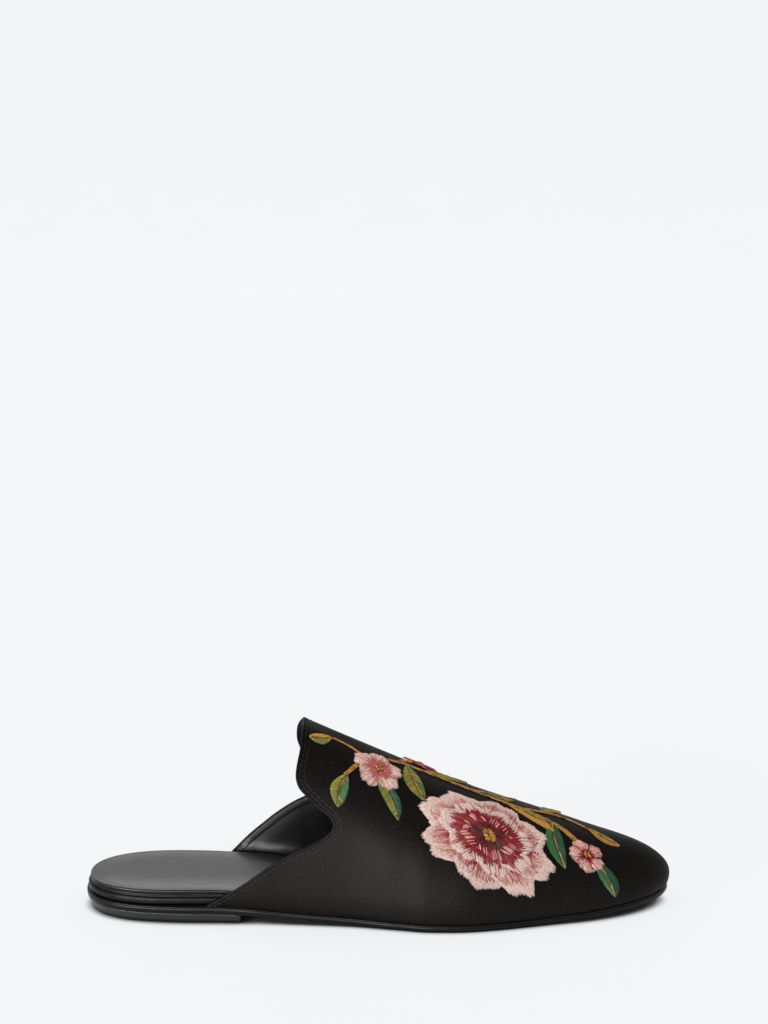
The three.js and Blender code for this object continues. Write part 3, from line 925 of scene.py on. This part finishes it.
# The bloom lies on the outer forefoot. Places are in millimetres: along the shoe, and around the
# upper from its ridge down the outer side. Each ring of petals starts and ends at a distance from the
# bloom's middle, and its shades change at shares of the way out.
BLOOM = {"at": (182.0, 33.0), "stretch": (1.1, 0.88)}
RINGS = rows_of(("petals", "turn", "from", "to", "half", "lift", "rim", "bands"), (
    (8, 0.2, 7.0, 28.5, 10.0, 0.5, "maroon",
     ((0.0, "maroon"), (0.3, "crimson"), (0.46, "rose"), (0.58, "pink"), (0.7, "blush"))),
    (7, 0.55, 4.0, 20.0, 8.2, 1.2, "crimson",
     ((0.0, "maroon"), (0.34, "crimson"), (0.58, "rose"), (0.74, "blush"))),
    (5, 0.1, 2.0, 12.0, 6.0, 1.8, "maroon",
     ((0.0, "maroon"), (0.45, "crimson"), (0.7, "pink"), (0.84, "blush"))),
))
HEART = {"radius": 3.8, "threads": 110, "lift": 2.3}

# Form of a petal: its tip is rounded and wavy, it is widest at a share of its length, it is domed, and
# it is tilted so that one of its sides lies over its neighbour.
PETAL = {"reach": (0.94, 1.05), "round": 0.3, "round_power": 2.6, "wave": 0.035, "waves": 7, "widest": 0.7,
         "swell": 0.9, "dome": 0.4, "tilt": 0.4}

# Stitches of a petal: their length in millimetres and its spread, how ragged the tip is, how near the
# base the last one starts, how far each reaches over the next, and how far a shade may wander.
LONG_STITCH = {"length": 6.0, "spread": (0.75, 1.3), "tip": (-0.03, 0.02), "foot": 0.06, "overlap": 0.25,
               "overlap_spread": (0.2, 1), "wander": 0.07, "loft": 0.12}
RIM = {"at": (0.3, 0.42, 0.54, 0.66, 0.78, 0.88), "lift": 0.05}

# Threads of a flower's heart: where they start, in millimetres, and end, as shares of its radius, how
# they stand up and how they bend.
TUFT = {"inner": 0.3, "outer": (0.55, 1.0), "loft": 0.4, "bow": (-0.1, 0.1)}

# Small blossoms of the spray. A petal's half width is a share of the radius, and its shades change at
# shares of the way out.
BLOSSOM = {"petals": 5, "from": 1.2, "half": 0.46, "lift": 0.5, "bands": (0.0, 0.4, 0.66)}
BLOSSOM_HEART = {"radius": 1.9, "threads": 30, "lift": 1.2}
BLOSSOMS = rows_of(("at", "radius", "turn", "shades"), (
    ((227.0, 24.0), 8.5, 0.4, ("crimson", "pink", "blush")),
    ((133.0, 17.0), 11.0, 0.9, ("rose", "pink", "blush")),
    ((152.0, -11.0), 8.0, 0.2, ("crimson", "rose", "pink")),
))

# Stems run through these places, and taper from one width to the other.
STEMS = rows_of(("through", "width"), (
    (((118.0, 27.0), (127.0, 14.0), (142.0, 4.0), (160.0, 1.0), (180.0, 1.0), (200.0, 4.0),
      (215.0, 10.0), (228.0, 22.0)), (1.4, 2.6)),
    (((142.0, 4.0), (146.0, -3.0), (152.0, -11.0), (164.0, -17.0)), (1.8, 1.0)),
    (((198.0, 4.0), (208.0, -1.0), (218.0, -3.0), (229.0, 2.0)), (2.0, 1.0)),
    (((128.0, 13.0), (120.0, 8.0), (112.0, 8.0)), (1.4, 0.8)),
))

# Stem stitch: spacing of a line's points, rounds of smoothing, points to a stitch, slant as a share of
# the width, lift and its spread, and shades.
STEM = {"step": 1.0, "smoothing": 12, "stitch": 4, "slant": 0.12, "lift": 0.3, "loft": 0.15,
        "shades": ("ochre", "gold", "ochre", "brown")}

# Leaves: where each starts and ends, its half width, its bow and the shades of its two halves.
LEAVES = rows_of(("from", "to", "half", "bow", "shades"), (
    ((146.0, 4.0), (154.0, 26.0), 4.4, 1.8, ("leaf", "olive")),
    ((154.0, 1.5), (174.0, -10.0), 4.2, -1.6, ("sage", "olive")),
    ((176.0, 1.0), (197.0, -9.0), 4.0, 1.4, ("leaf", "sage")),
    ((192.0, 3.0), (213.0, 16.0), 3.6, -1.2, ("olive", "gold")),
    ((212.0, 9.0), (217.0, 34.0), 4.4, 2.0, ("forest", "leaf")),
    ((230.0, 24.0), (240.0, 38.0), 4.0, -1.6, ("forest", "leaf")),
    ((229.0, 2.0), (243.0, 11.0), 3.4, 1.2, ("olive", "ochre")),
    ((119.0, 26.0), (115.0, 43.0), 3.8, 1.4, ("leaf", "olive")),
    ((112.0, 8.0), (102.0, 15.0), 3.2, -1.0, ("olive", "gold")),
    ((132.0, 20.0), (142.0, 40.0), 3.8, -1.6, ("forest", "olive")),
    ((164.0, -17.0), (178.0, -27.0), 3.8, 1.4, ("leaf", "forest")),
    ((208.0, -1.0), (218.0, -17.0), 3.6, -1.4, ("leaf", "olive")),
))

# Satin stitch of a leaf: its swell, slant, lift and its spread, share of stray stitches, and its rib.
LEAF = {"swell": 0.8, "slant": 0.7, "lift": 0.35, "loft": 0.15, "stray": 0.14, "rib": (0.7, 0.3),
        "rib_lift": 0.25}

# Extent of the chart of the forefoot in millimetres, and how the rays that find its places fan out.
CHART = {"along": (90.0, 248.0), "around": (-52.0, 74.0), "pitch": 0.5, "height": 0.3, "turn": 110}

RNG = np.random.default_rng(11)


class Chart:
    """Map of the forefoot's face: millimetres along the shoe, and around it from the ridge."""

    def __init__(self, surface):
        stations = np.arange(CHART["along"][0], CHART["along"][1] + 1)
        around = np.arange(CHART["around"][0], CHART["around"][1] + CHART["pitch"], CHART["pitch"])
        turns = np.radians(np.arange(-CHART["turn"], CHART["turn"] + 1, 1.0))
        rows = []
        for x in stations:
            low = seat_height(x)
            middle = Vector((x, TOE_SWING, float(low + CHART["height"] * (ridge_height(x) - low))))
            found, kept = [], []
            for turn in turns:
                hit = surface.tree.ray_cast(middle, Vector((0, -math.sin(turn), math.cos(turn))))
                if hit[0] is not None:
                    found.append(tuple(hit[0]))
                    kept.append(turn)
            found = np.array(found)
            run = run_along(found)
            run -= np.interp(0.0, kept, run)
            rows.append(places_along(found, run, around))
        self.places = np.array(rows)
        self.normals = unit(np.cross(np.gradient(self.places, axis=1), np.gradient(self.places, axis=0)))

    def look_up(self, flat):
        """Places and normals on the face for an array of chart places."""
        u = flat[..., 0] - CHART["along"][0]
        v = (flat[..., 1] - CHART["around"][0]) / CHART["pitch"]
        i, j = (np.clip(at, 0, size - 2).astype(int) for at, size in zip((u, v), self.places.shape))
        s, t = np.clip(u - i, 0, 1)[..., None], np.clip(v - j, 0, 1)[..., None]
        found = []
        for table in (self.places, self.normals):
            near = table[i, j] * (1 - s) + table[i + 1, j] * s
            far = table[i, j + 1] * (1 - s) + table[i + 1, j + 1] * s
            found.append(near * (1 - t) + far * t)
        return found[0], unit(found[1])


class Needlework:
    """Collects threads in chart places, then makes one mesh of them."""

    def __init__(self, chart):
        self.chart = chart
        self.paths, self.lifts, self.shades, self.widths = [], [], [], []

    def add(self, start, end, shade, lift, bow=0.0):
        t = np.linspace(0, 1, THREAD_POINTS)[:, None]
        start, end = np.asarray(start, float), np.asarray(end, float)
        across = np.array((start[1] - end[1], end[0] - start[0]))
        self.paths.append(start + (end - start) * t + across * bow * np.sin(math.pi * t))
        self.lifts.append(lift)
        self.shades.append(SHADE[shade])
        self.widths.append(THREAD_WIDTH * RNG.uniform(*THREAD_FORM["spread"]))

    def make(self, name):
        places, normals = self.chart.look_up(np.array(self.paths))
        dip = 1 - THREAD_FORM["dip"] * np.linspace(-1, 1, THREAD_POINTS) ** 6
        lifts = np.array(self.lifts)[:, None] * dip[None] - THREAD_FORM["sink"]
        paths = places + normals * lifts[..., None]
        heights = np.full(len(paths), THREAD_HEIGHT)
        points, faces, per_thread = thread_mesh(paths, normals, np.array(self.widths), heights)
        shades = np.repeat(self.shades, per_thread)
        make_object(name, points, faces, EMBROIDERY_THREADS, "embroidery", shades)


def pick(bands, place):
    """Shade of the band that a place from base to tip falls in."""
    return [shade for start, shade in bands if place >= start][-1]


def petal(work, centre, stretch, turn, ring):
    """Petal in long and short stitches that fan out from the flower's middle."""
    along = np.array((math.cos(turn), math.sin(turn)))
    across = np.array((-along[1], along[0]))
    reach = ring["to"] * RNG.uniform(*PETAL["reach"])
    columns = int(2 * ring["half"] / THREAD_PITCH)
    wave = RNG.uniform(0, 2 * math.pi)

    def place(c, t):
        rounded = PETAL["round"] * abs(c) ** PETAL["round_power"]
        tip = reach * (1 - rounded + PETAL["wave"] * math.sin(PETAL["waves"] * c + wave))
        wide = ring["half"] * math.sin(min(t / PETAL["widest"], 1) * math.pi / 2) ** PETAL["swell"]
        spot = along * (ring["from"] + (tip - ring["from"]) * t) + across * c * wide
        return np.asarray(centre) + spot * stretch

    for column_at in range(columns + 1):
        c = -1 + 2 * column_at / columns
        t = 1 + RNG.uniform(*LONG_STITCH["tip"])
        step = LONG_STITCH["length"] / (ring["to"] - ring["from"])
        dome = ring["lift"] + PETAL["dome"] * (1 - c * c) + PETAL["tilt"] * c
        while t > LONG_STITCH["foot"]:
            low = max(t - step * RNG.uniform(*LONG_STITCH["spread"]), 0)
            wander = RNG.uniform(-LONG_STITCH["wander"], LONG_STITCH["wander"])
            shade = pick(ring["bands"], np.clip((t + low) / 2 + wander, 0, 1))
            work.add(place(c, low), place(c, t), shade, dome + RNG.uniform(0, LONG_STITCH["loft"]))
            t = low + LONG_STITCH["overlap"] * step * RNG.uniform(*LONG_STITCH["overlap_spread"])
            if low == 0:
                break
    rim = [place(1.0, t) for t in RIM["at"]]
    for start, end in zip(rim, rim[1:]):
        work.add(start, end, ring["rim"], ring["lift"] + PETAL["tilt"] + RIM["lift"])


def flower_heart(work, centre, heart):
    """Tuft of gold threads in a flower's middle."""
    centre = np.array(centre)
    for _ in range(heart["threads"]):
        turn = RNG.uniform(0, 2 * math.pi)
        out = heart["radius"] * RNG.uniform(*TUFT["outer"])
        way = np.array((math.cos(turn), math.sin(turn)))
        shade = RNG.choice(("gold", "gold", "ochre", "brown"))
        lift = heart["lift"] + RNG.uniform(0, TUFT["loft"])
        work.add(centre + way * TUFT["inner"], centre + way * out, shade, lift, RNG.uniform(*TUFT["bow"]))


def flower(work, at, stretch, turn, ring):
    """One ring of petals around a place."""
    for k in range(ring["petals"]):
        petal(work, at, stretch, turn + 2 * math.pi * k / ring["petals"], ring)


def leaf(work, entry):
    """Leaf in slanted satin stitch from its rib to its two edges."""
    start, end = np.array(entry["from"]), np.array(entry["to"])
    way = end - start
    length = np.linalg.norm(way)
    way = way / length
    across = np.array((-way[1], way[0]))
    rows = int(length / THREAD_PITCH)
    stray = "leaf" if entry["shades"][0] == "forest" else "gold"
    for row in range(rows + 1):
        t = row / rows
        rib = start + way * length * t + across * entry["bow"] * math.sin(math.pi * t)
        wide = entry["half"] * math.sin(math.pi * t ** LEAF["swell"]) ** LEAF["swell"]
        for side, shade in zip((-1, 1), entry["shades"]):
            edge = rib + across * side * wide + way * wide * LEAF["slant"]
            if RNG.random() < LEAF["stray"]:
                shade = stray
            work.add(rib, edge, shade, LEAF["lift"] + RNG.uniform(0, LEAF["loft"]))
    middle = tuple((start + end) / 2 + across * entry["bow"])
    stem(work, (entry["from"], middle, entry["to"]), LEAF["rib"], LEAF["lift"] + LEAF["rib_lift"])


def stem(work, through, width, lift=STEM["lift"]):
    """Stem stitch in a few rows side by side along a smooth line."""
    spots = np.array(through, float)
    run = run_along(spots)
    count = max(int(run[-1] / STEM["step"]), 4)
    line = smoothed(places_along(spots, run, np.linspace(0, run[-1], count)), STEM["smoothing"])
    rows = max(int(max(width) / THREAD_PITCH), 1)
    for row in range(rows):
        for k in range(0, count - 1, 2):
            last = min(k + STEM["stitch"], count - 1)
            across = unit(np.array((line[k][1] - line[last][1], line[last][0] - line[k][0])))
            here = width[0] + (width[1] - width[0]) * k / count
            side = across * (row - (rows - 1) / 2) / rows * here
            slant = across * STEM["slant"] * here
            shade = RNG.choice(STEM["shades"])
            height = lift + RNG.uniform(0, STEM["loft"])
            work.add(line[k] + side - slant, line[last] + side + slant, shade, height)


def make_embroidery(surface):
    chart = Chart(surface)
    bloom = Needlework(chart)
    for ring in RINGS:
        flower(bloom, BLOOM["at"], BLOOM["stretch"], ring["turn"], ring)
    flower_heart(bloom, BLOOM["at"], HEART)
    bloom.make("embroidered_bloom")

    spray = Needlework(chart)
    for entry in STEMS:
        stem(spray, entry["through"], entry["width"])
    for entry in LEAVES:
        leaf(spray, entry)
    for entry in BLOSSOMS:
        ring = {**BLOSSOM, "to": entry["radius"], "half": entry["radius"] * BLOSSOM["half"],
                "bands": tuple(zip(BLOSSOM["bands"], entry["shades"])), "rim": entry["shades"][0]}
        flower(spray, entry["at"], (1.0, 1.0), entry["turn"], ring)
        flower_heart(spray, entry["at"], BLOSSOM_HEART)
    spray.make("embroidered_spray")


EMBROIDERY_THREADS = [thread_material(name, colour) for name, colour in THREADS.items()]
make_embroidery(OUTER_FACE)


# Camera, in the last's frame in millimetres: the view turns about a point in the shoe.
CAMERA = {
    "target": (134.0, 0.0, 30.0),
    "distance": 1200.0,
    "elevation": math.radians(18.5),
    "pitch": math.radians(11.32),
    "yaw": math.radians(-0.082),
    "lens": 91.2,
    "sensor": 36.0,
    "clip": (0.01, 50.0),
}

# Studio floor in metres, the glow of its paper, and how a painted contact shadow cuts the glow off.
FLOOR = {"half_width": 5.0, "front": -5.0, "back": 2.4, "radius": 0.5, "top": 0.7, "curve_points": 24}
PAPER = {"glow": 0.835, "tint": (244, 245, 247), "low": (108, 109, 110), "high": (110, 111, 112),
         "shadow_reach": 0.008, "shadow_full": 0.3, "shadow_end": 0.66}

# Brightness of the room by height, from straight down to straight up, and its share in front and beside.
ROOM = ((0.0, 0.88), (0.55, 0.88), (0.61, 0.6), (0.7, 0.5), (0.8, 0.35), (0.9, 0.1), (1.0, 0.05))
ROOM_SHARE = {"front": 0.25, "beside": 1.0}

# Lights: place and aim in metres, size, power in watts, whether each shows in gloss and in colour, and
# the one piece that it reaches, if it doesn't reach all.
SHOE_MIDDLE = (0.0, 0.0, 0.03)
LIGHTS = rows_of(("name", "place", "aim", "size", "power", "in_gloss", "in_colour", "only"), (
    ("overhead", (0.0, 0.5, 4.0), (0.0, 0.5, 0.0), (8.0, 8.0), 250.0, False, True, None),
    ("window", (-1.5, -1.6, 0.3), SHOE_MIDDLE, (1.0, 0.6), 24.0, True, True, None),
    ("front_glow", (-1.1, -1.8, 0.2), SHOE_MIDDLE, (2.4, 0.45), 124.0, True, False, None),
    ("back_glow", (0.0, 2.4, 1.9), SHOE_MIDDLE, (4.0, 0.8), 54.0, True, False, SOCK),
))


def make_camera():
    data = bpy.data.cameras.new("camera")
    data.lens = CAMERA["lens"]
    data.sensor_width = CAMERA["sensor"]
    data.clip_start, data.clip_end = CAMERA["clip"]
    back = np.array((0.0, -math.cos(CAMERA["elevation"]), math.sin(CAMERA["elevation"])))
    obj = add_object("camera", data)
    obj.location = to_part(np.array(CAMERA["target"]) + back * CAMERA["distance"])
    obj.rotation_euler = (math.pi / 2 - CAMERA["pitch"], 0.0, CAMERA["yaw"])
    bpy.context.scene.camera = obj


def paper_material():
    """Pale paper that glows, but not right under the shoe, where a painted contact shadow cuts the glow
    off.
    """
    material, tree, principled = shader(
        "floor_paper", Roughness=0.8, Specular_IOR_Level=0.1, Emission_Color=srgb(*PAPER["tint"]),
    )
    clouds = noise(tree, size=60, detail=3)
    blend_colours(tree, principled, clouds, srgb(*PAPER["low"]), srgb(*PAPER["high"]))
    # Ambient occlusion near the shoe dims the glow: a painted contact shadow.
    shadow = add_node(tree, "AmbientOcclusion", Distance=PAPER["shadow_reach"])
    span = add_node(
        tree, "MapRange", Value=shadow.outputs["AO"], From_Min=PAPER["shadow_full"],
        From_Max=PAPER["shadow_end"], To_Max=PAPER["glow"],
    )
    tree.links.new(span.outputs["Result"], principled.inputs["Emission Strength"])
    return material


def make_floor():
    """Seamless floor that curves up behind the shoe."""
    profile = [(FLOOR["front"], 0.0), (0.0, 0.0)]
    for turn in np.linspace(0, math.pi / 2, FLOOR["curve_points"]):
        y = FLOOR["back"] + FLOOR["radius"] * math.sin(turn)
        profile.append((y, FLOOR["radius"] * (1 - math.cos(turn))))
    profile.append((FLOOR["back"] + FLOOR["radius"], FLOOR["top"]))
    points = [(side * FLOOR["half_width"], y, z) for side in (-1, 1) for y, z in profile]
    count = len(profile)
    faces = [(k, k + count, k + count + 1, k + 1) for k in range(count - 1)]
    obj = add_object("floor", new_mesh("floor", points, faces, [paper_material()]))


def make_room():
    """Bright room, dimmer overhead and in front, as where the camera stands in a dark part of a studio."""
    world = bpy.data.worlds.new("room")
    world.use_nodes = True
    tree = world.node_tree
    background = tree.nodes["Background"]
    way = add_node(tree, "SeparateXYZ", Vector=add_node(tree, "TexCoord").outputs["Generated"])
    height = add_node(tree, "MapRange", Value=way.outputs["Z"], From_Min=-1.0)
    ramp = add_node(tree, "ValToRGB", Fac=height.outputs["Result"])
    elements = ramp.color_ramp.elements
    while len(elements) < len(ROOM):
        elements.new(0.5)
    for element, (position, value) in zip(elements, ROOM):
        element.position = position
        element.color = (value, value, value, 1.0)
    share = add_node(
        tree, "MapRange", Value=way.outputs["Y"], From_Min=-1.0, From_Max=0.0,
        To_Min=ROOM_SHARE["front"], To_Max=ROOM_SHARE["beside"],
    )
    tree.links.new(ramp.outputs["Color"], background.inputs["Color"])
    tree.links.new(share.outputs["Result"], background.inputs["Strength"])
    bpy.context.scene.world = world


def make_light(name, place, aim, size, power, in_gloss, in_colour, only):
    data = bpy.data.lights.new(name, "AREA")
    data.shape = "RECTANGLE"
    data.size, data.size_y = size
    data.energy = power
    obj = add_object(name, data)
    obj.location = place
    direction = Vector(aim) - Vector(place)
    obj.rotation_euler = direction.to_track_quat("-Z", "Y").to_euler()
    obj.visible_glossy = in_gloss
    obj.visible_diffuse = in_colour
    if only is not None:
        reached = bpy.data.collections.new(name + "_reach")
        reached.objects.link(only)
        obj.light_linking.receiver_collection = reached


bpy.context.scene.view_settings.view_transform = "Standard"
make_camera()
make_floor()
make_room()
for light in LIGHTS:
    make_light(**light)
